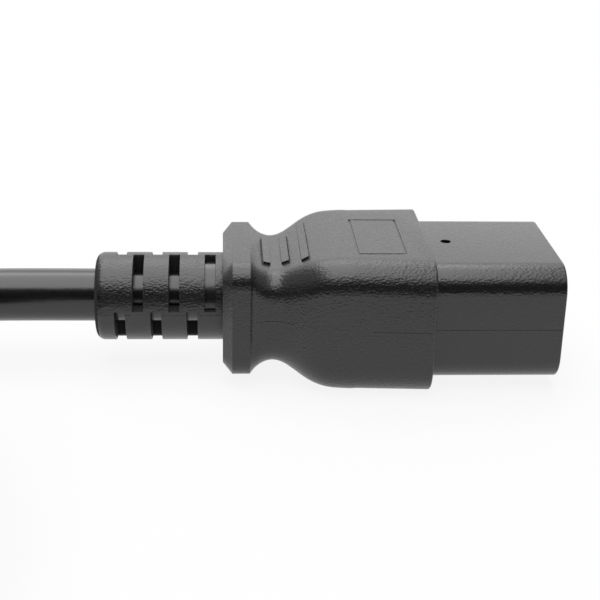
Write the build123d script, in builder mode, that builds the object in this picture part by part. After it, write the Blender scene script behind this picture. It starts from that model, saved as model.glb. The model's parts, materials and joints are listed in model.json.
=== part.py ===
"""Moulded power cord: a rectangular three-pole connector, its lead and the plug on the far end.

Millimetres. +X runs along the connector towards its nose and +Z is up. The origin is under the
middle of the connector, on the surface that it lies on. The length of cord that is put away lies
in a tied coil beside the connector, and the plug rests on the coil.
"""

import math
import os

from build123d import *

# Connector: lengths along its axis, measured from the step between body and nose
nose_length = 22.0
nose_width = 29.5
nose_height = 20.3
nose_corner = 4.6
body_width = 35.6
body_height = 23.2
body_corner = 5.4
mould_edge = 0.35

# The grip that both ends share: shoulder, waist, collar and strain relief
shoulder_at = -12.5
shoulder_draft = 1.5
shoulder_corner = 5.2
shoulder_ease = 1.8
flat_cut = 0.02
waist_from_collar = 4.1
waist_width = 25.2
waist_height = 16.2
waist_corner = 4.5
collar_front = -30.25
collar_width = 27.2
collar_height = 20.2
collar_corner = 4.0
collar_scoop = 2.4
collar_length = 2.95
collar_slope_length = 1.6
collar_slope_depth = 2.0
relief_radius = 7.6
relief_end = -56.5
relief_end_round = 1.5
slot_width = 1.85
slot_pitch = 3.05
slot_count = 6
slot_margin = 4.3

# Grip ribs across the waist: where each lies and how long it is
rib_width = 1.2
rib_height = 0.4
rib_places = ((-27.4, 12.6), (-24.35, 13.2), (-21.2, 18.6))

# Frame line on the top of the body
frame_at = -8.5
frame_offset = -1.55
frame_length = 8.3
frame_width = 17.8
frame_line = 0.35
frame_depth = 0.15

# Contact block in the nose and the small locating hole above it
sleeve_wall = 1.5
block_front_wall = 1.4
pole_spread = 13.0
pole_offset = 4.0
entry_width = 8.7
entry_height = 2.7
entry_lead_in = 0.5
hole_at = 3.75
hole_diameter = 1.8

# Sprung contacts
contact_width = 8.8
contact_height = 3.2
contact_wall = 0.5
contact_slit = 0.6
contact_length = 15.0
contact_play = 0.1
neck_width = 3.0
neck_length = 3.0
barrel_length = 5.8
barrel_wall = 0.55

# Cable
cord_diameter = 9.1
core_diameter = 3.3
conductor_diameter = 1.9
crimp_play = 0.05
lay_radius = 1.95
jacket_front = -27.0
core_gap = 0.8
core_bend = 5.0
connector_spread_start = -9.0
connector_spread_end = -19.0
plug_spread_start = -17.4
plug_spread_end = -25.2

# Inner mould behind the block, with the round neck that shows in the foremost slot
connector_block_rear = -4.0
connector_inner_length = 16.0
plug_inner_length = 18.5
inner_width = 24.0
inner_height = 14.4
inner_corner = 2.0
inner_neck_radius = 6.5
inner_neck_end = -38.4

# Plug on the far end: hood, pin block and flat pins
hood_opening_width = 30.4
hood_opening_height = 21.2
hood_opening_corner = 4.0
hood_wall = 2.7
hood_depth = 23.0
pin_block_width = 26.5
pin_block_height = 17.3
pin_block_corner = 3.0
pin_block_length = 6.0
pin_width = 8.0
pin_height = 2.0
pin_reach = 17.0
pin_tip = 0.6
pin_root = 3.0

# Coil of the length that is put away, and its tie
coil_turn_radius = 45.5
coil_turns_wide = 3
coil_layers = 2
coil_centre_x = -114.0
tie_thickness = 1.0
tie_width = 12.0
tie_angle = 215.0

connector_middle = (nose_length + relief_end) / 2
waist_at = collar_front + waist_from_collar
axis_height = body_height / 2
cord_radius = cord_diameter / 2
barrel_bore = conductor_diameter / 2 + crimp_play
barrel_radius = barrel_bore + barrel_wall
hood_width = hood_opening_width + 2 * hood_wall
hood_height = hood_opening_height + 2 * hood_wall
coil_bottom = tie_thickness
coil_width = coil_turns_wide * cord_diameter
coil_height = coil_layers * cord_diameter
coil_top = coil_bottom + coil_height
coil_centre = (coil_centre_x, -coil_turn_radius - (coil_turns_wide - 1) * cord_radius)
floor_layer = coil_bottom + cord_radius
top_layer = coil_top - cord_radius
tail_height = coil_top + hood_height / 2

# The route of the cord outside the coil, point by point, chosen by hand. Both ends dip just inside
# the outer turn of the coil. The tail is given from the middle of the coil and ends over it.
lead_route = (
    (jacket_front - connector_middle, 0.0, axis_height),
    (-62.0, 0.0, axis_height),
    (-88.0, 0.0, floor_layer + 0.15),
    (-104.7, -1.8, floor_layer + 0.15),
)
plug_from_coil = (12.6, 37.0)
tail_from_coil = (
    (-12.0, -52.3, top_layer - 0.15),
    (17.8, -58.2, top_layer + 0.2),
    (39.2, -51.2, top_layer + 1.6),
    (55.2, -35.2, top_layer + 4.8),
    (62.2, -13.8, top_layer + 8.7),
    (58.6, 8.5, top_layer + 12.7),
    (45.4, 26.7, top_layer + 16.2),
    (25.3, plug_from_coil[1], tail_height),
    (plug_from_coil[0] + relief_end - jacket_front, plug_from_coil[1], tail_height),
)
tail_route = tuple((coil_centre[0] + x, coil_centre[1] + y, z) for x, y, z in tail_from_coil)
lead_split = 2
tail_split = 5


class End:
    """One end of the cord: its place, the way its nose points and what it holds inside."""

    def __init__(self, name, origin, direction, block_rear, barrel_front, spread, inner_length):
        self.name = name
        self.origin = Vector(*origin)
        self.axis = Vector(direction, 0, 0)
        self.side = Vector(0, direction, 0)
        self.up = Vector(0, 0, 1)
        self.block_rear = block_rear
        self.barrel_front = barrel_front
        self.spread = spread
        self.inner_shoulder = block_rear - inner_length

    def point(self, along, across=0.0, height=0.0):
        """A place given along the axis, to the side and upwards."""
        return self.origin + self.axis * along + self.side * across + self.up * height

    def section(self, along, across=0.0, height=0.0):
        """The plane across the axis at a place along it."""
        return Plane(self.point(along, across, height), x_dir=self.side, z_dir=self.axis)

    def plan_view(self, height=0.0):
        """The level plane at a height above the axis."""
        return Plane(self.point(0, 0, height), x_dir=self.axis, z_dir=self.up)

    def forward(self):
        """An axis that sorts things from the cord side to the nose side."""
        return Axis((0, 0, 0), tuple(self.axis))


contact_rear = nose_length - block_front_wall - contact_play - contact_length
connector = End(
    "connector",
    origin=(-connector_middle, 0, axis_height),
    direction=1,
    block_rear=connector_block_rear,
    barrel_front=contact_rear - neck_length,
    spread=(connector_spread_start, connector_spread_end),
    inner_length=connector_inner_length,
)
plug = End(
    "plug",
    origin=(
        coil_centre[0] + plug_from_coil[0] + relief_end,
        coil_centre[1] + plug_from_coil[1],
        tail_height,
    ),
    direction=-1,
    block_rear=-pin_block_length,
    barrel_front=-pin_block_length - pin_root,
    spread=(plug_spread_start, plug_spread_end),
    inner_length=plug_inner_length,
)
poles = {
    "line": (-pole_spread / 2, -pole_offset, 210),
    "neutral": (pole_spread / 2, -pole_offset, 330),
    "earth": (0.0, pole_offset, 90),
}


def finish(name, part):
    """Labels a finished piece and writes its file."""
    part.label = name
    export_step(part, f"parts/{name}.step")


def swell(along):
    """How far the grip has swelled from its narrowest place: 0 there, 1 at collar and shoulder."""
    if along < waist_at:
        return ((waist_at - along) / (waist_at - collar_front)) ** collar_scoop
    rest = max(0.0, (shoulder_at - along) / (shoulder_at - waist_at))
    return math.sin(math.pi / 2 * (1 - rest ** shoulder_ease)) ** 2


def grip_section(along, front_width, front_height):
    """Width, height and corner radius of the grip at a place between collar and shoulder."""
    end_sizes = (front_width - shoulder_draft, front_height, shoulder_corner)
    if along < waist_at:
        end_sizes = (collar_width, collar_height, collar_corner)
    waist_sizes = (waist_width, waist_height, waist_corner)
    share = swell(along)
    return [narrow + share * (wide - narrow) for narrow, wide in zip(waist_sizes, end_sizes)]


def waist(end, front_width, front_height, proud=0.0):
    """The grip from collar to shoulder, with its skin as it is or standing proud of that."""
    stations = [collar_front + index * (waist_at - collar_front) / 3 for index in range(3)]
    stations += [waist_at + index * (shoulder_at - waist_at) / 6 for index in range(7)]
    with BuildPart(mode=Mode.PRIVATE) as shape:
        for along in stations:
            width, height, corner = grip_section(along, front_width, front_height)
            with BuildSketch(end.section(along)):
                RectangleRounded(width + 2 * proud, height + 2 * proud, corner + proud)
        loft()
    return shape.part


def grip(end, front_width, front_height):
    """Body, waist and collar of one end, with the strain relief behind them."""
    with BuildPart(mode=Mode.PRIVATE) as shape:
        add(waist(end, front_width, front_height))
        with BuildSketch(end.section(shoulder_at)):
            RectangleRounded(*grip_section(shoulder_at, front_width, front_height))
        with BuildSketch(end.section(0)):
            RectangleRounded(front_width, front_height, body_corner)
        loft(ruled=True)
        with BuildSketch(end.section(collar_front)):
            RectangleRounded(collar_width, collar_height, collar_corner)
        extrude(amount=-collar_length - collar_slope_length)
        rear = shape.faces().sort_by(end.forward())[0]
        chamfer(rear.edges(), collar_slope_depth, collar_slope_length, reference=rear)
        add(relief(end))
    return shape.part


def ribs(end, front_width, front_height):
    """Low ribs across the top and the underside of the waist, which follow its skin."""
    with BuildPart(mode=Mode.PRIVATE) as shape:
        with BuildSketch(end.plan_view(-front_height)):
            for rib_at, rib_length in rib_places:
                with Locations((rib_at, 0)):
                    Rectangle(rib_width, rib_length)
        extrude(amount=2 * front_height)
        add(waist(end, front_width, front_height, rib_height), mode=Mode.INTERSECT)
    return shape.part


def relief(end):
    """The ladder strain relief: slots that take turns between opposite quarters of a round tube."""
    with BuildPart(mode=Mode.PRIVATE) as shape:
        with BuildSketch(end.section(relief_end)):
            Circle(relief_radius)
        extrude(amount=collar_front - relief_end)
        fillet(shape.faces().sort_by(end.forward())[0].edges(), relief_end_round)
        for index in range(slot_count):
            turn = -1 if index % 2 else 1
            slot_rear = relief_end + slot_margin + index * slot_pitch - slot_width / 2
            with BuildSketch(end.section(slot_rear)):
                with Locations(
                    (-relief_radius, -turn * relief_radius),
                    (relief_radius, turn * relief_radius),
                ):
                    Rectangle(2 * relief_radius, 2 * relief_radius)
            extrude(amount=slot_width, mode=Mode.SUBTRACT)
    return shape.part


def inner_shape(end):
    """The outside of the hard inner mould: a block behind the poles and a neck over the cable."""
    with BuildPart(mode=Mode.PRIVATE) as shape:
        with BuildSketch(end.section(end.block_rear)):
            RectangleRounded(inner_width, inner_height, inner_corner)
        extrude(amount=end.inner_shoulder - end.block_rear)
        with BuildSketch(end.section(end.inner_shoulder)):
            Circle(inner_neck_radius)
        extrude(amount=inner_neck_end - end.inner_shoulder)
    return shape.part


def core_space(end):
    """The room that the inner mould and the cable take up inside an outer moulding."""
    with BuildPart(mode=Mode.PRIVATE) as shape:
        add(inner_shape(end))
        with BuildSketch(end.section(end.inner_shoulder)):
            Circle(cord_radius)
        extrude(amount=relief_end - end.inner_shoulder)
    return shape.part


def core(end, pole, front, diameter, bore=0.0):
    """A round wire, or its insulation with a bore, from a place behind its crimp into the jacket."""
    across, height, angle = poles[pole]
    lay = (lay_radius * math.cos(math.radians(angle)), lay_radius * math.sin(math.radians(angle)))
    with BuildPart(mode=Mode.PRIVATE) as shape:
        with BuildLine() as path:
            FilletPolyline(
                end.point(front, across, height),
                end.point(end.spread[0], across, height),
                end.point(end.spread[1], *lay),
                end.point(jacket_front, *lay),
                radius=core_bend,
            )
        with BuildSketch(end.section(front, across, height)):
            Circle(diameter / 2)
            if bore:
                Circle(bore / 2, mode=Mode.SUBTRACT)
        sweep(path=path.line)
    return shape.part


def barrel(end, pole):
    """The crimp barrel of a pole."""
    across, height, angle = poles[pole]
    with BuildPart(mode=Mode.PRIVATE) as shape:
        with BuildSketch(end.section(end.barrel_front, across, height)):
            Circle(barrel_radius)
            Circle(barrel_bore, mode=Mode.SUBTRACT)
        extrude(amount=-barrel_length)
    return shape.part


def write_cores(end):
    """The three cores and their bared wires."""
    core_front = end.barrel_front - barrel_length - core_gap
    wire_front = end.barrel_front - core_gap
    for pole in poles:
        insulation = core(end, pole, core_front, core_diameter, conductor_diameter)
        finish(f"{end.name}_{pole}_core", insulation)
        finish(f"{end.name}_{pole}_wire", core(end, pole, wire_front, conductor_diameter))


def write_inner_mould(end):
    """The inner mould, with room for the roots, crimps and cores and for the end of the cable."""
    with BuildPart() as mould:
        add(inner_shape(end))
        for pole, (across, height, angle) in poles.items():
            add(core(end, pole, end.block_rear, core_diameter), mode=Mode.SUBTRACT)
            if end.barrel_front < end.block_rear:
                with BuildSketch(end.section(end.barrel_front, across, height)):
                    Circle(barrel_radius + crimp_play)
                extrude(amount=-barrel_length, mode=Mode.SUBTRACT)
                with BuildSketch(end.section(end.block_rear, across, height)):
                    Rectangle(pin_width, 2 * barrel_radius)
                extrude(amount=end.barrel_front - end.block_rear, mode=Mode.SUBTRACT)
        with BuildSketch(end.section(jacket_front)):
            Circle(cord_radius)
        extrude(amount=inner_neck_end - jacket_front, mode=Mode.SUBTRACT)
    finish(f"{end.name}_inner_mould", mould.part)


def bend_radii(route):
    """The radius of the arc at each corner of a route, as large as its two runs allow."""
    radii = []
    for before, corner, after in zip(route, route[1:], route[2:]):
        arriving = Vector(*corner) - Vector(*before)
        leaving = Vector(*after) - Vector(*corner)
        half_turn = math.radians(arriving.get_angle(leaving) / 2)
        radii.append(0.45 * min(arriving.length, leaving.length) / math.tan(half_turn))
    return radii


def middle(route, index):
    """The middle of the run that ends at a point of a route."""
    return (Vector(*route[index - 1]) + Vector(*route[index])) / 2


def cord_tube(points, radii):
    """The jacket of the cord along straight runs and tangent arcs."""
    with BuildPart(mode=Mode.PRIVATE) as shape:
        with BuildLine() as path:
            FilletPolyline(*points, radius=radii)
        with BuildSketch(Plane(path.line @ 0, z_dir=path.line % 0)):
            Circle(cord_radius)
        sweep(path=path.line)
    return shape.part


def coil_plane(angle):
    """The upright plane out from the middle of the coil, at an angle from +X."""
    turn = math.radians(angle)
    outward = (math.cos(turn), math.sin(turn), 0)
    return Plane((*coil_centre, 0), x_dir=outward, z_dir=(math.sin(turn), -math.cos(turn), 0))


os.makedirs("parts", exist_ok=True)

# Connector: outer moulding with the nose sleeve, grip ribs and strain relief
block_width = nose_width - 2 * sleeve_wall
block_height = nose_height - 2 * sleeve_wall
block_corner = nose_corner - sleeve_wall
with BuildPart() as connector_overmould:
    add(grip(connector, body_width, body_height + 2 * flat_cut))
    split(bisect_by=connector.plan_view(-body_height / 2), keep=Keep.TOP)
    split(bisect_by=connector.plan_view(body_height / 2), keep=Keep.BOTTOM)
    fillet(connector_overmould.faces().sort_by(connector.forward())[-1].edges(), mould_edge)
    with BuildSketch(connector.section(0)):
        RectangleRounded(nose_width, nose_height, nose_corner)
    extrude(amount=nose_length)
    fillet(connector_overmould.faces().sort_by(connector.forward())[-1].edges(), mould_edge)
    add(ribs(connector, body_width, body_height))
    with BuildSketch(connector.plan_view(body_height / 2)):
        with Locations((frame_at, frame_offset)):
            Rectangle(frame_length, frame_width)
            Rectangle(frame_length - 2 * frame_line, frame_width - 2 * frame_line, mode=Mode.SUBTRACT)
    extrude(amount=-frame_depth, mode=Mode.SUBTRACT)
    with BuildSketch(connector.section(connector.block_rear)):
        RectangleRounded(block_width, block_height, block_corner)
    extrude(amount=nose_length - connector.block_rear, mode=Mode.SUBTRACT)
    add(core_space(connector), mode=Mode.SUBTRACT)
    with Locations(Location(connector.point(hole_at, 0, nose_height / 2))):
        Hole(hole_diameter / 2, depth=sleeve_wall)
finish("connector_overmould", connector_overmould.part)

# Contact block: the hard insert with three entries and the chambers of the contacts
chamber_width = contact_width + 2 * contact_play
chamber_height = contact_height + 2 * contact_play
chamber_front = nose_length - block_front_wall
with BuildPart() as connector_contact_block:
    with BuildSketch(connector.section(connector.block_rear)):
        RectangleRounded(block_width, block_height, block_corner)
    extrude(amount=nose_length - connector.block_rear)
    for across, height, angle in poles.values():
        with BuildSketch(connector.section(connector.block_rear, across, height)):
            Rectangle(chamber_width, chamber_height)
        extrude(amount=chamber_front - connector.block_rear, mode=Mode.SUBTRACT)
        with BuildSketch(connector.section(chamber_front, across, height)):
            Rectangle(entry_width, entry_height)
        extrude(amount=block_front_wall, mode=Mode.SUBTRACT)
    face = connector_contact_block.faces().sort_by(connector.forward())[-1]
    entries = [edge for wire in face.inner_wires() for edge in wire.edges()]
    chamfer(entries, entry_lead_in)
finish("connector_contact_block", connector_contact_block.part)

# Contacts: folded box springs with a seam along the top, a neck and a crimp barrel
for pole, (across, height, angle) in poles.items():
    with BuildPart() as contact:
        with BuildSketch(connector.section(contact_rear, across, height)):
            Rectangle(contact_width, contact_height)
            Rectangle(contact_width - 2 * contact_wall, contact_height - 2 * contact_wall, mode=Mode.SUBTRACT)
            with Locations((0, contact_height / 2)):
                Rectangle(contact_slit, 2 * contact_wall, mode=Mode.SUBTRACT)
        extrude(amount=contact_length)
        with BuildSketch(connector.section(contact_rear, across, height - contact_height / 2)):
            Rectangle(neck_width, contact_wall, align=(Align.CENTER, Align.MIN))
        extrude(amount=-neck_length - barrel_length / 2)
        add(barrel(connector, pole))
    finish(f"connector_{pole}_contact", contact.part)
write_cores(connector)
write_inner_mould(connector)

# Plug: outer moulding with the open hood around the pins
with BuildPart() as plug_overmould:
    add(grip(plug, hood_width, hood_height))
    with BuildSketch(plug.section(0)):
        RectangleRounded(hood_width, hood_height, body_corner)
    extrude(amount=hood_depth)
    with BuildSketch(plug.section(0)):
        RectangleRounded(hood_opening_width, hood_opening_height, hood_opening_corner)
    extrude(amount=hood_depth, mode=Mode.SUBTRACT)
    with BuildSketch(plug.section(plug.block_rear)):
        RectangleRounded(pin_block_width, pin_block_height, pin_block_corner)
    extrude(amount=pin_block_length, mode=Mode.SUBTRACT)
    add(core_space(plug), mode=Mode.SUBTRACT)
finish("plug_overmould", plug_overmould.part)

with BuildPart() as plug_pin_block:
    with BuildSketch(plug.section(plug.block_rear)):
        RectangleRounded(pin_block_width, pin_block_height, pin_block_corner)
        with Locations([(across, height) for across, height, angle in poles.values()]):
            Rectangle(pin_width, pin_height, mode=Mode.SUBTRACT)
    extrude(amount=pin_block_length)
finish("plug_pin_block", plug_pin_block.part)

# Pins: flat blades with eased tips, each with a root in the inner mould and a crimp barrel
for pole, (across, height, angle) in poles.items():
    with BuildPart() as pin:
        with BuildSketch(plug.section(plug.block_rear, across, height)):
            Rectangle(pin_width, pin_height)
        extrude(amount=pin_reach + pin_block_length)
        chamfer(pin.faces().sort_by(plug.forward())[-1].edges(), pin_tip)
        with BuildSketch(plug.section(plug.barrel_front, across, height)):
            Rectangle(pin_width, 2 * barrel_radius)
        extrude(amount=pin_root)
        add(barrel(plug, pole))
    finish(f"plug_{pole}_pin", pin.part)
write_cores(plug)
write_inner_mould(plug)

# Cord: the lead from the connector, the coil with the turns put away, and the tail to the plug
lead_radii = bend_radii(lead_route)
tail_radii = bend_radii(tail_route)
lead_join = middle(lead_route, lead_split)
tail_join = middle(tail_route, tail_split)
finish("cord_lead", cord_tube((*lead_route[:lead_split], lead_join), lead_radii[:lead_split - 1]))
finish("cord_tail", cord_tube((tail_join, *tail_route[tail_split:]), tail_radii[tail_split - 1:]))
coil_axis = Axis((*coil_centre, 0), (0, 0, 1))
coil_section = (coil_turn_radius, (coil_bottom + coil_top) / 2)
with BuildPart() as cord_coil:
    with BuildSketch(coil_plane(0)):
        with Locations(coil_section):
            RectangleRounded(coil_width, coil_height, cord_radius)
    revolve(axis=coil_axis)
    add(cord_tube((lead_join, *lead_route[lead_split:]), lead_radii[lead_split - 1:]))
    add(cord_tube((*tail_route[:tail_split], tail_join), tail_radii[:tail_split - 1]))
finish("cord_coil", cord_coil.part)

# Tie: a closed band around all the turns
tie_turn = math.degrees(tie_width / coil_turn_radius)
with BuildPart() as coil_tie:
    with BuildSketch(coil_plane(tie_angle - tie_turn / 2)):
        with Locations(coil_section):
            band = 2 * tie_thickness
            RectangleRounded(coil_width + band, coil_height + band, cord_radius + tie_thickness)
            RectangleRounded(coil_width, coil_height, cord_radius, mode=Mode.SUBTRACT)
    revolve(axis=coil_axis, revolution_arc=tie_turn)
finish("coil_tie", coil_tie.part)

print("radii of the cord:", [round(radius, 1) for radius in lead_radii + tail_radii])
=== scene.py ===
"""Studio view of a moulded power cord: its connector, the coiled cord and the plug on the far end.

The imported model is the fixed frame. The mouldings are shown by smooth copies with a crinkled
finish, the cord by one curve through its route and coil, and the small inner pieces by themselves.
Lengths are in metres. Only the points of the cord's route and the camera's place are written in
millimetres.
"""

from __future__ import annotations

import json
import logging
import math
from dataclasses import dataclass
from enum import Enum
from typing import Iterable

import bpy
from mathutils import Matrix, Vector

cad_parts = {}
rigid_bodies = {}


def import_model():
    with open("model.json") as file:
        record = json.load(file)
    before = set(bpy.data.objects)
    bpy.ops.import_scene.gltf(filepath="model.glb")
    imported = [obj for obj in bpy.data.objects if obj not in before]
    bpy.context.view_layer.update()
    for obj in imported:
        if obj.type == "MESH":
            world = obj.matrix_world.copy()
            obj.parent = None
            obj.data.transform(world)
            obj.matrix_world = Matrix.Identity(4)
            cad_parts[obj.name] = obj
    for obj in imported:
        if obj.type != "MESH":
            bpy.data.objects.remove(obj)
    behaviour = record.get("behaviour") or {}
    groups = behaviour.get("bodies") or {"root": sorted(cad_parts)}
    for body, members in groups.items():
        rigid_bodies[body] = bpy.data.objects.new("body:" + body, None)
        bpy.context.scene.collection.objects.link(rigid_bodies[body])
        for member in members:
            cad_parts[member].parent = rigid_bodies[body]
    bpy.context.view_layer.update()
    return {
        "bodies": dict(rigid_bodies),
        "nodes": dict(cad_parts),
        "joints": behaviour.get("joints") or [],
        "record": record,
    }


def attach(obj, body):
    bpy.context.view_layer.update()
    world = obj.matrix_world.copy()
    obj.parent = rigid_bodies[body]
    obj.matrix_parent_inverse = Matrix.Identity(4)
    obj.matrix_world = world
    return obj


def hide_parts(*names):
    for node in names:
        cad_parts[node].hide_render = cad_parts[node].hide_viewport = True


LOG = logging.getLogger("power_cord")
MM = 0.001
BODY = "root"
# How high the connector's axis lies above the floor.
AXIS = 11.6 * MM
# Corners of triangles that are closer than this are joined.
WELD = 0.002 * MM
# A place along X that no piece reaches.
OUT_OF_REACH = 1.0

Triple = tuple[float, float, float]


class Pole(Enum):
    """The three poles of the cord, by the colour of their insulation."""

    LINE = (0.16, 0.065, 0.028)
    NEUTRAL = (0.03, 0.11, 0.36)
    EARTH = (0.26, 0.36, 0.035)

    @property
    def label(self) -> str:
        """The pole's name as the nodes spell it."""
        return self.name.lower()


class Socket:
    """One output of a shader graph, with the operators that add maths nodes behind it."""

    def __init__(self, graph: Graph, socket: bpy.types.NodeSocket) -> None:
        """Wraps a socket.

        Args:
            graph: The graph that the socket belongs to.
            socket: The output that is wrapped.
        """
        self.graph = graph
        self.socket = socket

    def __add__(self, other: Socket | float) -> Socket:
        """The sum of this value and another."""
        return self.graph.maths("ADD", self, other)

    __radd__ = __add__

    def __sub__(self, other: Socket | float) -> Socket:
        """This value less another."""
        return self.graph.maths("SUBTRACT", self, other)

    def __mul__(self, other: Socket | float) -> Socket:
        """The product of this value and another."""
        return self.graph.maths("MULTIPLY", self, other)

    __rmul__ = __mul__

    def __abs__(self) -> Socket:
        """The size of this value, without its sign."""
        return self.graph.maths("ABSOLUTE", self)

    def __lt__(self, other: Socket | float) -> Socket:
        """1 where this value is under another, and 0 elsewhere."""
        return self.graph.maths("LESS_THAN", self, other)

    def __gt__(self, other: Socket | float) -> Socket:
        """1 where this value is over another, and 0 elsewhere."""
        return self.graph.maths("GREATER_THAN", self, other)


class Graph:
    """A node tree that is written as Python expressions.

    Attributes:
        noise_roughness: How strong the finer layers of a noise are.
        edge_samples: How many rays look for an edge that is rounded.
        first_colour: The number of the Mix node's first colour, whose name isn't its alone.
        second_colour: The number of its second colour.
        mixed_colour: The number of the output with the mixed colour.
    """

    noise_roughness = 0.55
    edge_samples = 6
    first_colour = 6
    second_colour = 7
    mixed_colour = 2

    def __init__(self, tree: bpy.types.NodeTree) -> None:
        """Empties a tree and takes it over.

        Args:
            tree: The node tree of a material or of the world.
        """
        self.tree = tree
        self.tree.nodes.clear()

    def add(
        self,
        kind: str,
        settings: dict[str, object] | None = None,
        inputs: dict[str | int, object] | None = None,
    ) -> bpy.types.Node:
        """Adds one node.

        Args:
            kind: The node's type.
            settings: Properties of the node, set before its inputs.
            inputs: Values, or sockets to link, by the input's name or number.

        Returns:
            The new node.
        """
        node = self.tree.nodes.new(kind)
        for name, value in (settings or {}).items():
            setattr(node, name, value)
        for name, value in (inputs or {}).items():
            if isinstance(value, Socket):
                self.tree.links.new(value.socket, node.inputs[name])
            else:
                node.inputs[name].default_value = value
        return node

    def out(self, node: bpy.types.Node, name: str | int = 0) -> Socket:
        """An output of a node, ready for maths."""
        return Socket(self, node.outputs[name])

    def maths(self, operation: str, *values: Socket | float) -> Socket:
        """A Math node on one or two values."""
        inputs = dict(enumerate(values))
        return self.out(self.add("ShaderNodeMath", {"operation": operation}, inputs))

    def place(self) -> Socket:
        """Object coordinates, which are the frame's own metres."""
        return self.out(self.add("ShaderNodeTexCoord"), "Object")

    def along(self, vector: Socket, axis: str) -> Socket:
        """One of the three parts of a vector."""
        return self.out(self.add("ShaderNodeSeparateXYZ", inputs={0: vector}), axis)

    def stretched(self, vector: Socket, scale: Triple) -> Socket:
        """A vector with each of its parts scaled."""
        inputs = {"Vector": vector, "Scale": scale}
        return self.out(self.add("ShaderNodeMapping", inputs=inputs))

    def between(self, value: Socket, start: float, end: float) -> Socket:
        """1 where a value is between two others, and 0 elsewhere."""
        return (value > start) * (value < end)

    def weighed(self, first: Socket, second: Socket, share: float) -> Socket:
        """Two values added up, the first by its share and the second by the rest."""
        return first * share + second * (1.0 - share)

    def noise(self, vector: Socket, scale: float, detail: float = 2.0) -> Socket:
        """Soft noise from 0 to 1.

        Args:
            vector: Where the noise is read.
            scale: Grains in a metre.
            detail: How many finer layers are added.

        Returns:
            The noise.
        """
        inputs = {
            "Vector": vector, "Scale": scale, "Detail": detail, "Roughness": self.noise_roughness,
        }
        return self.out(self.add("ShaderNodeTexNoise", inputs=inputs), "Fac")

    def cells(self, vector: Socket, scale: float, smooth: float = 0.6) -> Socket:
        """Rounded cells, from 0 at their middles.

        Args:
            vector: Where the cells are read.
            scale: Cells in a metre.
            smooth: How far the cells run into each other, from 0 to 1.

        Returns:
            The distance from the nearest middle, in cells.
        """
        settings = {"feature": "SMOOTH_F1"}
        inputs = {"Vector": vector, "Scale": scale, "Smoothness": smooth}
        return self.out(self.add("ShaderNodeTexVoronoi", settings, inputs), "Distance")

    def band(self, value: Socket, middle: float, half_width: float) -> Socket:
        """1 in a narrow band of a value around its middle, with soft edges."""
        settings = {"interpolation_type": "SMOOTHSTEP"}
        inputs = {
            "Value": abs(value - middle),
            "From Min": 0.0, "From Max": half_width, "To Min": 1.0, "To Max": 0.0,
        }
        return self.out(self.add("ShaderNodeMapRange", settings, inputs))

    def blend(self, share: Socket, first: Triple, second: Triple) -> Socket:
        """A colour between two, by a share from 0 to 1."""
        node = self.add("ShaderNodeMix", {"data_type": "RGBA"}, {0: share})
        node.inputs[self.first_colour].default_value = (*first, 1.0)
        node.inputs[self.second_colour].default_value = (*second, 1.0)
        return self.out(node, self.mixed_colour)

    def bump(self, height: Socket, distance: float, below: Socket | None = None) -> Socket:
        """Relief of a height from 0 to 1, as a normal.

        Args:
            height: The height, in units of the distance.
            distance: How high a height of 1 stands, in metres.
            below: A normal that the relief is added to.

        Returns:
            The normal.
        """
        inputs: dict[str | int, object] = {"Height": height, "Distance": distance, "Strength": 1.0}
        if below is not None:
            inputs["Normal"] = below
        return self.out(self.add("ShaderNodeBump", inputs=inputs))

    def rounded(self, radius: float) -> Socket:
        """A normal that rounds sharp edges over a radius."""
        settings = {"samples": self.edge_samples}
        return self.out(self.add("ShaderNodeBevel", settings, {"Radius": radius}))

    def surface(self, inputs: dict[str | int, object]) -> None:
        """Adds the surface shader and the material's output.

        Args:
            inputs: Values and sockets of the shader, by name.
        """
        shader = self.add("ShaderNodeBsdfPrincipled", inputs=inputs)
        self.add("ShaderNodeOutputMaterial", inputs={"Surface": self.out(shader)})


@dataclass(frozen=True)
class Finish:
    """A plain finish, and the base of those with relief.

    Attributes:
        name: The material's name.
        colour: Its base colour.
        roughness: How dull it is.
        metallic: 1 for bare metal, and 0 for everything else.
        ior: How strongly its surface mirrors.
        fineness: How many grains of its finest noise lie in a metre.
        spread: How far the roughness varies from end to end, as a share of itself.
    """

    name: str
    colour: Triple
    roughness: float = 0.4
    metallic: float = 0.0
    ior: float = 1.5
    fineness: float = 900.0
    spread: float = 0.3

    def material(self) -> bpy.types.Material:
        """Makes the material, or finds it if it was made before.

        Returns:
            The material.
        """
        made = bpy.data.materials.get(self.name)
        if made is not None:
            return made
        made = bpy.data.materials.new(self.name)
        made.use_nodes = True
        made.diffuse_color = (*self.colour, 1.0)
        self.fill(Graph(made.node_tree))
        return made

    def shade(self, factor: float) -> Triple:
        """The colour, made lighter or darker by a factor."""
        red, green, blue = (min(1.0, part * factor) for part in self.colour)
        return red, green, blue

    def uneven(self, share: Socket) -> Socket:
        """The roughness, which varies around its level with a share from 0 to 1."""
        return self.roughness * (share * self.spread + (1.0 - self.spread / 2))

    def shader(self, **varying: object) -> dict[str | int, object]:
        """The shader's inputs.

        Args:
            varying: Those that vary over the surface, which replace the plain ones.

        Returns:
            All the inputs, by name.
        """
        inputs: dict[str | int, object] = {
            "Base Color": (*self.colour, 1.0),
            "Roughness": self.roughness,
            "Metallic": self.metallic,
            "IOR": self.ior,
        }
        inputs.update({name.replace("_", " "): value for name, value in varying.items()})
        return inputs

    def fill(self, graph: Graph) -> None:
        """Builds the nodes of the finish: even, with a faint unevenness of gloss."""
        speck = graph.noise(graph.place(), self.fineness)
        graph.surface(self.shader(Roughness=self.uneven(speck)))


@dataclass(frozen=True)
class Seam:
    """A fine raised line where the mould parts.

    Attributes:
        height: How high above the floor it runs.
        start: Where it starts along X.
        end: Where it ends along X.
    """

    height: float
    start: float
    end: float


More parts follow.
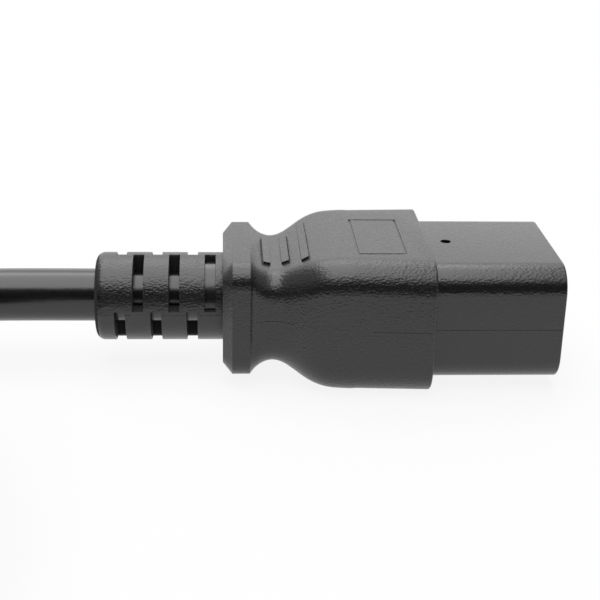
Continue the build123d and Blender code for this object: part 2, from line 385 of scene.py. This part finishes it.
@dataclass(frozen=True)
class Crinkle(Finish):
    """Moulded black plastic with the crinkled grain of an eroded mould.

    Each pair of grain shares is that of the coarse cells and that of the fine noise.

    Attributes:
        grain: The width of a coarse cell.
        grain_depth: How high the grain stands.
        drawn: How places are scaled before the grain is read, which makes it longer along X.
        fine_in_a_cell: How many fine grains lie side by side in a coarse cell.
        body_grain: The grain shares of the moulding.
        nose_grain: The grain shares of its smoother nose.
        nose_from: Where the nose starts along X.
        edge: The radius that softens sharp edges.
        seams: The lines where the mould parts.
        seam_half_width: Half the width of such a line.
        seam_depth: How high it stands.
        ladder: Where the slotted strain relief starts and ends along X.
        ladder_seam: The height of the line between its top and its underside.
        ladder_top: How strong the grain is above that line.
        ladder_underside: How strong the grain is below it.
        slot_radius: What lies closer to the axis than this is a slot's wall.
        slots_duller: How much rougher those walls are.
        grain_duller: How much rougher the heights of the grain are.
        wear_duller: How much the wear changes the roughness.
        darkest: The colour's factor where it is worn least.
        lightest: The colour's factor where it is worn most.
    """

    fineness: float = 260.0
    grain: float = 0.36 * MM
    grain_depth: float = 0.08 * MM
    drawn: Triple = (0.6, 1.0, 1.0)
    fine_in_a_cell: float = 1.7
    body_grain: tuple[float, float] = (0.6, 0.5)
    nose_grain: tuple[float, float] = (0.4, 0.15)
    nose_from: float = OUT_OF_REACH
    edge: float = 0.12 * MM
    seams: tuple[Seam, ...] = ()
    seam_half_width: float = 0.11 * MM
    seam_depth: float = 0.03 * MM
    ladder: tuple[float, float] = (OUT_OF_REACH, OUT_OF_REACH)
    ladder_seam: float = 10.9 * MM
    ladder_top: float = 1.2
    ladder_underside: float = 0.3
    slot_radius: float = 7.3 * MM
    slots_duller: float = 0.65
    grain_duller: float = 0.08
    wear_duller: float = 0.05
    darkest: float = 0.85
    lightest: float = 1.25

    def on_ladder(self, graph: Graph, place: Socket) -> Socket:
        """1 on the strain relief behind the connector, and 0 elsewhere."""
        return graph.between(graph.along(place, "X"), *self.ladder)

    def relief(self, graph: Graph, place: Socket) -> Socket:
        """The height of the grain: fainter on the nose and on the ladder's underside."""
        drawn = graph.stretched(place, self.drawn)
        coarse = graph.cells(drawn, 1.0 / self.grain)
        fine = graph.noise(drawn, self.fine_in_a_cell / self.grain)
        nose = graph.along(place, "X") > self.nose_from
        coarse_share, fine_share = (
            nose * (smoother - usual) + usual
            for usual, smoother in zip(self.body_grain, self.nose_grain)
        )
        above = graph.along(place, "Z") > self.ladder_seam
        on_ladder = above * (self.ladder_top - self.ladder_underside) + self.ladder_underside
        strength = self.on_ladder(graph, place) * (on_ladder - 1.0) + 1.0
        return (coarse * coarse_share + fine * fine_share) * strength

    def in_slots(self, graph: Graph, place: Socket) -> Socket:
        """1 on the walls of the ladder's slots, which lie under its round skin."""
        across = graph.along(place, "Y")
        up = graph.along(place, "Z") - AXIS
        radius = graph.maths("SQRT", across * across + up * up)
        return (radius < self.slot_radius) * self.on_ladder(graph, place)

    def seam_height(self, graph: Graph, place: Socket) -> Socket:
        """The raised lines where the mould parts."""
        height = graph.along(place, "Z")
        length = graph.along(place, "X")
        return sum(
            graph.band(height, seam.height, self.seam_half_width)
            * graph.between(length, seam.start, seam.end)
            for seam in self.seams
        )

    def fill(self, graph: Graph) -> None:
        """Builds the nodes: rounded edges, then seams, then grain."""
        place = graph.place()
        normal = graph.rounded(self.edge)
        if self.seams:
            normal = graph.bump(self.seam_height(graph, place), self.seam_depth, normal)
        relief = self.relief(graph, place)
        normal = graph.bump(relief, self.grain_depth, normal)
        worn = graph.noise(place, self.fineness)
        duller = relief * self.grain_duller + (worn - 1.0) * self.wear_duller
        duller_slots = self.in_slots(graph, place) * self.slots_duller
        graph.surface(
            self.shader(
                Base_Color=graph.blend(worn, self.shade(self.darkest), self.shade(self.lightest)),
                Roughness=self.roughness + duller + duller_slots,
                Normal=normal,
            )
        )


@dataclass(frozen=True)
class Jacket(Finish):
    """The cord's extruded jacket: smooth, with a faint unevenness and a soft gloss.

    Attributes:
        waves: How many slow waves lie in a metre.
        skin_share: The share of the fine noise in the relief, the rest being waves.
        depth: How high the relief stands.
    """

    fineness: float = 1500.0
    spread: float = 0.364
    waves: float = 160.0
    skin_share: float = 0.6
    depth: float = 0.02 * MM

    def fill(self, graph: Graph) -> None:
        """Builds the nodes: a fine skin over slow waves."""
        place = graph.place()
        skin = graph.noise(place, self.fineness, detail=3.0)
        wave = graph.noise(place, self.waves, detail=1.0)
        normal = graph.bump(graph.weighed(skin, wave, self.skin_share), self.depth)
        graph.surface(self.shader(Roughness=self.uneven(skin), Normal=normal))


@dataclass(frozen=True)
class Strap(Finish):
    """The tie's hooked and looped fabric.

    Attributes:
        loops: How many loops lie in a metre.
        loop_share: The share of the loops in the relief, the rest being fuzz.
        depth: How high the relief stands.
        lightest: The colour's factor where the fuzz is lightest.
    """

    fineness: float = 5200.0
    loops: float = 1900.0
    loop_share: float = 0.7
    depth: float = 0.25 * MM
    lightest: float = 2.2

    def fill(self, graph: Graph) -> None:
        """Builds the nodes: a close pile of small loops."""
        place = graph.place()
        loops = graph.cells(place, self.loops, smooth=0.3)
        fuzz = graph.noise(place, self.fineness, detail=3.0)
        normal = graph.bump(graph.weighed(loops, fuzz, self.loop_share), self.depth)
        colour = graph.blend(fuzz, self.colour, self.shade(self.lightest))
        graph.surface(self.shader(Base_Color=colour, Normal=normal))


@dataclass(frozen=True)
class Rolled(Finish):
    """Rolled or plated metal with fine lines along X.

    Attributes:
        drawn: How places are scaled before the lines are read, which draws them out along X.
        depth: How high the lines stand.
    """

    fineness: float = 4200.0
    spread: float = 0.6
    drawn: Triple = (0.05, 1.0, 1.0)
    depth: float = 0.008 * MM

    def fill(self, graph: Graph) -> None:
        """Builds the nodes: one noise, drawn out into lines."""
        lines = graph.noise(graph.stretched(graph.place(), self.drawn), self.fineness, detail=3.0)
        normal = graph.bump(lines, self.depth)
        graph.surface(self.shader(Roughness=self.uneven(lines), Normal=normal))


MOULDING = Crinkle(
    "black moulding",
    (0.009, 0.009, 0.0092),
    roughness=0.27,
    ior=1.62,
    nose_from=17.3 * MM,
    seams=(
        Seam(10.9 * MM, -39.0 * MM, -17.7 * MM),
        Seam(12.0 * MM, -12.0 * MM, -5.5 * MM),
        Seam(12.0 * MM, 7.0 * MM, 16.8 * MM),
        Seam(11.3 * MM, 17.5 * MM, 39.0 * MM),
    ),
    ladder=(-39.5 * MM, -17.65 * MM),
)
INSERT = Crinkle(
    "black insert",
    (0.012, 0.012, 0.0123),
    roughness=0.22,
    ior=1.62,
    grain=0.3 * MM,
    grain_depth=0.008 * MM,
)
JACKET = Jacket("black jacket", (0.009, 0.009, 0.0092), roughness=0.22, ior=1.62)
STRAP = Strap("black strap", (0.012, 0.012, 0.012), roughness=0.9)
BRASS = Rolled("rolled brass", (0.78, 0.57, 0.28), roughness=0.3, metallic=1.0)
NICKEL = Rolled("nickel plate", (0.78, 0.76, 0.72), roughness=0.22, metallic=1.0)
COPPER = Rolled("bare copper", (0.85, 0.46, 0.28), roughness=0.35, metallic=1.0)
BLACK_CARD = Finish("black card", (0.01, 0.01, 0.01), roughness=1.0)


def only(piece: bpy.types.Object) -> None:
    """Deselects everything and makes one object the active one.

    Args:
        piece: The object to work on.
    """
    bpy.ops.object.select_all(action="DESELECT")
    piece.select_set(True)
    bpy.context.view_layer.objects.active = piece


def smooth_copy(frame: dict, node: str, name: str, angle: float = 32.0) -> bpy.types.Object:
    """Copies a node into a piece of its own, with its triangles joined and smoothly shaded.

    Args:
        frame: The loaded frame.
        node: The node that the piece stands for.
        name: The piece's name.
        angle: The angle in degrees up to which an edge is shaded smooth.

    Returns:
        The piece, riding on the body.
    """
    piece = bpy.data.objects.new(name, frame["nodes"][node].data.copy())
    bpy.context.scene.collection.objects.link(piece)
    only(piece)
    bpy.ops.object.mode_set(mode="EDIT")
    bpy.ops.mesh.select_all(action="SELECT")
    bpy.ops.mesh.remove_doubles(threshold=WELD)
    bpy.ops.mesh.customdata_custom_splitnormals_clear()
    bpy.ops.object.mode_set(mode="OBJECT")
    bpy.ops.object.shade_smooth_by_angle(angle=math.radians(angle))
    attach(piece, BODY)
    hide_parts(node)
    return piece


def dress(piece: bpy.types.Object, finish: Finish) -> None:
    """Gives a piece one finish all over.

    Args:
        piece: The piece.
        finish: Its finish.
    """
    piece.data.materials.clear()
    piece.data.materials.append(finish.material())


@dataclass
class EndPiece:
    """One end of the cord: its outer moulding, its hard block, its metal and its cores.

    Attributes:
        frame: The loaded frame.
        name: The end's name, with which its nodes and pieces start.
        block: What its hard block is called.
        metal: What its metal parts are called.
        metal_finish: The finish of those parts.
    """

    frame: dict
    name: str
    block: str
    metal: str
    metal_finish: Finish

    def build(self) -> list[bpy.types.Object]:
        """Shows the end.

        Returns:
            The pieces of this end.
        """
        moulding = smooth_copy(self.frame, f"{self.name}_overmould", f"{self.name}_moulding")
        dress(moulding, MOULDING)
        block = smooth_copy(self.frame, f"{self.name}_{self.block}", f"{self.name}_insert")
        dress(block, INSERT)
        neck = smooth_copy(self.frame, f"{self.name}_inner_mould", f"{self.name}_neck")
        dress(neck, INSERT)
        return [moulding, block, neck, *self.poles()]

    def poles(self) -> list[bpy.types.Object]:
        """Dresses the metal, core and wire of each pole, which keep their own shape.

        Returns:
            The dressed nodes.
        """
        shown = []
        for pole in Pole:
            insulation = Finish(f"{pole.label} insulation", pole.value, roughness=0.35)
            parts = {self.metal: self.metal_finish, "core": insulation, "wire": COPPER}
            for kind, finish in parts.items():
                node = self.frame["nodes"][f"{self.name}_{pole.label}_{kind}"]
                dress(node, finish)
                shown.append(node)
        return shown


@dataclass(frozen=True)
class Step:
    """A stretch of the coil over which the cord moves to the next turn.

    Attributes:
        start: Where it starts, in degrees of winding.
        outward: How many cord diameters it moves outward.
        upward: How many cord diameters it climbs.
    """

    start: float
    outward: float = 0.0
    upward: float = 0.0


@dataclass
class Cord:
    """The cord: the lead from the connector, the coil that is put away and the tail to the plug.

    The lead and the tail repeat the points of the part's own route. The coil is wound from the
    outside in on the floor, climbs, and is wound from the inside out on top.

    Attributes:
        diameter: The cord's thickness.
        length: Its length from end to end. It is not used.
        centre: The middle of the coil, seen from above.
        floor_layer: How high the cord's own middle lies in the lower layer.
        outer: The radius of the outermost turn, at the cord's own middle.
        points_in_a_turn: How many control points make a turn.
        lead: The points up to the coil, in millimetres.
        tail: The points from the coil to the plug, in millimetres from the coil's middle.
        start_angle: Where the winding starts, in degrees from +X.
        leaves_at: Where it ends, in degrees.
        steps: The moves from turn to turn.
        step_length: How long each of them takes, in degrees.
    """

    diameter: float = 9.1 * MM
    length: float = 1.88
    centre: tuple[float, float] = (-114.0 * MM, -54.6 * MM)
    floor_layer: float = 5.55 * MM
    outer: float = 54.6 * MM
    points_in_a_turn: int = 24
    lead: tuple[Triple, ...] = (
        (-9.75, 0.0, 11.6),
        (-50.0, 0.0, 11.9),
        (-64.0, 0.0, 11.6),
        (-86.0, 0.0, 5.7),
        (-104.7, -1.8, 5.7),
    )
    tail: tuple[Triple, ...] = (
        (-12.0, -52.3, 14.5),
        (17.8, -58.2, 14.85),
        (39.2, -51.2, 16.25),
        (55.2, -35.2, 19.45),
        (62.2, -13.8, 23.35),
        (58.6, 8.5, 27.35),
        (45.4, 26.7, 30.85),
        (25.3, 37.0, 32.5),
        (-16.9, 37.0, 32.5),
    )
    start_angle: float = 97.0
    leaves_at: float = 2045.0
    steps: tuple[Step, ...] = (
        Step(385.0, outward=-1.0),
        Step(745.0, outward=-1.0),
        Step(1050.0, upward=1.0),
        Step(1355.0, outward=1.0),
        Step(1715.0, outward=1.0),
    )
    step_length: float = 55.0

    def turn(self, angle: float) -> Vector:
        """A control point of the coil.

        Args:
            angle: How far the cord has been wound, in degrees from +X.

        Returns:
            The point, which is a little outside the turn that the curve then makes.
        """
        across = up = 0.0
        for step in self.steps:
            share = min(1.0, max(0.0, (angle - step.start) / self.step_length))
            eased = share * share * (3.0 - 2.0 * share)
            across += step.outward * eased * self.diameter
            up += step.upward * eased * self.diameter
        # Across from a control point, the curve is three quarters of the point itself and an
        # eighth of each of its neighbours.
        reach = 0.75 + 0.25 * math.cos(2.0 * math.pi / self.points_in_a_turn)
        radius = (self.outer + across) / reach
        turned = math.radians(angle)
        return Vector((
            self.centre[0] + radius * math.cos(turned),
            self.centre[1] + radius * math.sin(turned),
            self.floor_layer + up,
        ))

    def route(self) -> list[Vector]:
        """All the control points of the cord, from the connector to the plug."""
        points = [Vector(point) * MM for point in self.lead]
        spacing = 360.0 / self.points_in_a_turn
        count = int((self.leaves_at - self.start_angle) / spacing)
        points += [self.turn(self.start_angle + index * spacing) for index in range(count + 1)]
        middle = Vector((*self.centre, 0.0))
        points += [middle + Vector(point) * MM for point in self.tail]
        return points

    def build(self, with_pieces: Iterable[bpy.types.Object]) -> bpy.types.Object:
        """Args:
            with_pieces: The pieces on the cord. It is not used.

        Returns:
            The cord.
        """
        points = self.route()
        curve = bpy.data.curves.new("cord_jacket", "CURVE")
        curve.dimensions = "3D"
        spline = curve.splines.new("NURBS")
        spline.points.add(len(points) - 1)
        for control, point in zip(spline.points, points):
            control.co = (*point, 1.0)
        spline.order_u = 3
        spline.use_endpoint_u = True
        spline.resolution_u = 6
        curve.bevel_depth = self.diameter / 2
        curve.bevel_resolution = 8
        curve.use_fill_caps = True
        cord = bpy.data.objects.new("cord_jacket", curve)
        bpy.context.scene.collection.objects.link(cord)
        curve.materials.append(JACKET.material())
        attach(cord, BODY)
        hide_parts("cord_lead", "cord_coil", "cord_tail")
        return cord


@dataclass
class Tie:
    """The band that holds the coil.

    Attributes:
        frame: The loaded frame.
        smooth_up_to: The angle in degrees up to which its edges are shaded smooth.
    """

    frame: dict
    smooth_up_to: float = 40.0

    def build(self) -> bpy.types.Object:
        """Shows the band.

        Returns:
            The band.
        """
        band = smooth_copy(self.frame, "coil_tie", "coil_band", self.smooth_up_to)
        dress(band, STRAP)
        return band


@dataclass(frozen=True)
class SoftBox:
    """A rectangular lamp.

    Attributes:
        name: The lamp's name.
        at: Its middle.
        aim: The point that it faces.
        size: Its width and height.
        radiance: How bright its face is, where 1 is white.
    """

    name: str
    at: Triple
    aim: Triple
    size: tuple[float, float]
    radiance: float

    def hang(self) -> None:
        """Adds the lamp, whose face the camera doesn't see."""
        width, height = self.size
        data = bpy.data.lights.new(self.name, "AREA")
        data.shape = "RECTANGLE"
        data.size = width
        data.size_y = height
        data.energy = self.radiance * math.pi * width * height
        lamp = bpy.data.objects.new(self.name, data)
        bpy.context.scene.collection.objects.link(lamp)
        lamp.location = self.at
        facing = Vector(self.aim) - Vector(self.at)
        lamp.rotation_euler = facing.to_track_quat("-Z", "Y").to_euler()
        lamp.visible_camera = False


@dataclass
class Studio:
    """The white floor, the light and the camera.

    Attributes:
        focal_pixels: The lens's focal length, in pixels of the picture.
        image_pixels: The picture's width, in pixels.
        sensor: The sensor's width, in the millimetres that a camera counts in.
        camera_at: Where the camera stands, in millimetres.
        pitch: How far it looks down, in degrees.
        yaw: How far it looks to the right, in degrees.
        roll: How far it is rolled, in degrees.
        nearest: How close to the camera something can still be seen.
        floor_size: The length of the floor's sides.
        floor_front: Where the floor ends along Y and the black card stands, behind the camera.
        floor_white: The floor's own white, which keeps the shadow.
        floor_glow: The share of even white in the floor that is seen.
        card_size: The card's width and height.
        room_light: How bright the room is as light.
        room_in_gloss: How bright it is where the gloss mirrors it.
        room_seen: How bright it is to the camera.
        lamps: The soft boxes.
    """

    focal_pixels: float = 1292.83
    image_pixels: float = 600.0
    sensor: float = 36.0
    camera_at: Triple = (-17.61, -209.58, 96.30)
    pitch: float = 22.157
    yaw: float = 3.706
    roll: float = 1.411
    nearest: float = 0.01
    floor_size: float = 6.0
    floor_front: float = -0.3
    floor_white: float = 0.9
    floor_glow: float = 0.88
    card_size: tuple[float, float] = (3.0, 0.3)
    room_light: float = 0.05
    room_in_gloss: float = 0.5
    room_seen: float = 1.0
    lamps: tuple[SoftBox, ...] = (
        SoftBox("back soft box", (0.0, 1.24, 0.84), (0.0, 0.0, 0.0), (2.4, 1.8), 0.85),
        SoftBox("top soft box", (-0.15, 0.08, 1.2), (-0.15, 0.08, 0.0), (1.15, 2.15), 2.6),
    )

    def camera(self) -> None:
        """Sets the camera where the photograph was taken."""
        data = bpy.data.cameras.new("view")
        data.sensor_width = self.sensor
        data.lens = self.focal_pixels * self.sensor / self.image_pixels
        data.clip_start = self.nearest
        camera = bpy.data.objects.new("view", data)
        bpy.context.scene.collection.objects.link(camera)
        turned = Matrix.Rotation(-math.radians(self.yaw), 4, "Z")
        tipped = Matrix.Rotation(math.radians(90.0 - self.pitch), 4, "X")
        rolled = Matrix.Rotation(math.radians(self.roll), 4, "Z")
        standing = Matrix.Translation(Vector(self.camera_at) * MM)
        camera.matrix_world = standing @ turned @ tipped @ rolled
        bpy.context.scene.camera = camera

    def sheet(
        self, name: str, at: Triple, size: tuple[float, float], tilt: float = 0.0,
    ) -> bpy.types.Object:
        """Adds a flat sheet.

        Args:
            name: The sheet's name.
            at: Its middle.
            size: Its width and depth.
            tilt: How far it is tipped up, in degrees.

        Returns:
            The sheet.
        """
        bpy.ops.object.select_all(action="DESELECT")
        turned = (math.radians(tilt), 0.0, 0.0)
        bpy.ops.mesh.primitive_plane_add(size=1.0, location=at, rotation=turned)
        sheet = bpy.context.object
        sheet.name = name
        sheet.scale = (*size, 1.0)
        return sheet

    def seen(self, graph: Graph) -> Socket:
        """1 for what the camera sees, also by reflection or through glass."""
        path = graph.add("ShaderNodeLightPath")
        rays = [graph.out(path, f"Is {kind} Ray") for kind in ("Camera", "Glossy", "Transmission")]
        return graph.maths("MAXIMUM", graph.maths("MAXIMUM", rays[0], rays[1]), rays[2])

    def floor(self) -> None:
        """Lays the white table top, which keeps a faint shadow and ends behind the camera."""
        middle = self.floor_front + self.floor_size / 2
        floor = self.sheet("floor", (0.0, middle, 0.0), (self.floor_size, self.floor_size))
        paint = bpy.data.materials.new("white floor")
        paint.use_nodes = True
        graph = Graph(paint.node_tree)
        level = self.floor_white
        white = graph.add("ShaderNodeBsdfDiffuse", inputs={"Color": (level, level, level, 1.0)})
        glow = graph.add("ShaderNodeEmission", inputs={"Color": (1.0, 1.0, 1.0, 1.0)})
        inputs = {0: self.seen(graph) * self.floor_glow, 1: graph.out(white), 2: graph.out(glow)}
        mixed = graph.add("ShaderNodeMixShader", inputs=inputs)
        graph.add("ShaderNodeOutputMaterial", inputs={"Surface": graph.out(mixed)})
        floor.data.materials.append(paint)

    def card(self) -> None:
        """Stands a black card on the floor's front edge: rounded edges mirror it as a dark band."""
        middle = (0.0, self.floor_front, self.card_size[1] / 2)
        card = self.sheet("black card", middle, self.card_size, tilt=90.0)
        card.visible_camera = False
        card.data.materials.append(BLACK_CARD.material())

    def world(self) -> None:
        """Makes the room dim as light, grey in the gloss and white to the camera."""
        world = bpy.data.worlds.new("studio")
        bpy.context.scene.world = world
        world.use_nodes = True
        graph = Graph(world.node_tree)
        path = graph.add("ShaderNodeLightPath")
        to_camera = graph.out(path, "Is Camera Ray") * (self.room_seen - self.room_light)
        in_gloss = graph.out(path, "Is Glossy Ray") * (self.room_in_gloss - self.room_light)
        inputs = {
            "Color": (1.0, 1.0, 1.0, 1.0),
            "Strength": to_camera + in_gloss + self.room_light,
        }
        back = graph.add("ShaderNodeBackground", inputs=inputs)
        graph.add("ShaderNodeOutputWorld", inputs={"Surface": graph.out(back)})

    def build(self) -> None:
        """Sets up the whole studio."""
        self.camera()
        self.floor()
        self.card()
        self.world()
        for lamp in self.lamps:
            lamp.hang()
        bpy.context.scene.view_settings.view_transform = "Standard"


def main() -> None:
    """Builds the pieces in order and reports each."""
    logging.basicConfig(level=logging.INFO, format="%(name)s: %(message)s")
    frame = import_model()
    Studio().build()
    connector = EndPiece(frame, "connector", "contact_block", "contact", BRASS)
    plug = EndPiece(frame, "plug", "pin_block", "pin", NICKEL)
    for piece in connector.build():
        LOG.info("connector: %s", piece.name)
    on_cord = plug.build()
    for piece in on_cord:
        LOG.info("plug: %s", piece.name)
    band = Tie(frame).build()
    cord = Cord().build([*on_cord, band])
    LOG.info("cord: %s with %d control points", cord.name, len(cord.data.splines[0].points))


if __name__ == "__main__":
    main()
